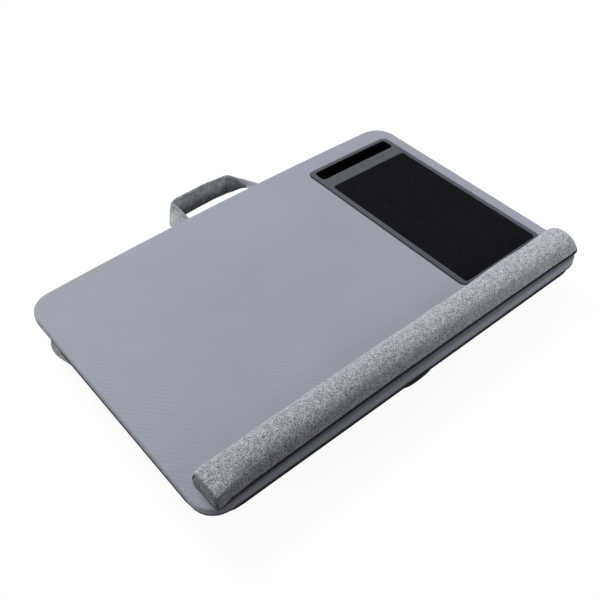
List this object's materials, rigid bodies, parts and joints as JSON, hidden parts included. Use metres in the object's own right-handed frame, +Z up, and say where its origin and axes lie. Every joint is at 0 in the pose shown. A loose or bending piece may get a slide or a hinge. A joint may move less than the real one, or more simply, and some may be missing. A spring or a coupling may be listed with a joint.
{
  "type": "lap desk",
  "caption": "Lap desk: flat board with rounded corners on soft bolsters, padded wrist rest along its front, inset mouse pad and phone slot on the right, strap handle at the back.",
  "frame": {"origin": "centre of the footprint, on the plane that the cushions rest on", "axes": "+X to the user's right along the wrist rest, +Y away from the user towards the handle, +Z up"},
  "size_m": [0.5376, 0.391, 0.0756],
  "materials": {
    "board_laminate": "satin laminate with a fine diagonal weave",
    "black_board": "black painted fibreboard",
    "tray_plastic": "satin moulded plastic",
    "slot_rubber": "matt",
    "pad_fabric": "fine smooth cloth",
    "heather_fabric": "woven heather cloth",
    "vent_mesh": "knitted mesh",
    "zinc": "zinc plated"
  },
  "bodies": {
    "root": {"top_board": "board_laminate", "base_panel": "black_board", "tray_insert": "tray_plastic", "slot_liner": "slot_rubber", "mouse_pad": "pad_fabric", "wrist_rest": "heather_fabric", "wrist_rest_backing": "black_board", "cushion_left": "heather_fabric", "cushion_right": "heather_fabric", "centre_strip": "vent_mesh", "handle_strap": "heather_fabric", "panel_screw_1": "zinc", "panel_screw_2": "zinc", "panel_screw_3": "zinc", "panel_screw_4": "zinc", "panel_screw_5": "zinc", "panel_screw_6": "zinc", "wrist_rest_screw_1": "zinc", "wrist_rest_screw_2": "zinc", "wrist_rest_screw_3": "zinc", "wrist_rest_screw_4": "zinc", "wrist_rest_screw_5": "zinc", "tray_screw_1": "zinc", "tray_screw_2": "zinc", "tray_screw_3": "zinc", "tray_screw_4": "zinc", "handle_screw_1": "zinc", "handle_screw_2": "zinc", "handle_screw_3": "zinc", "handle_screw_4": "zinc"}
  },
  "joints": []
}
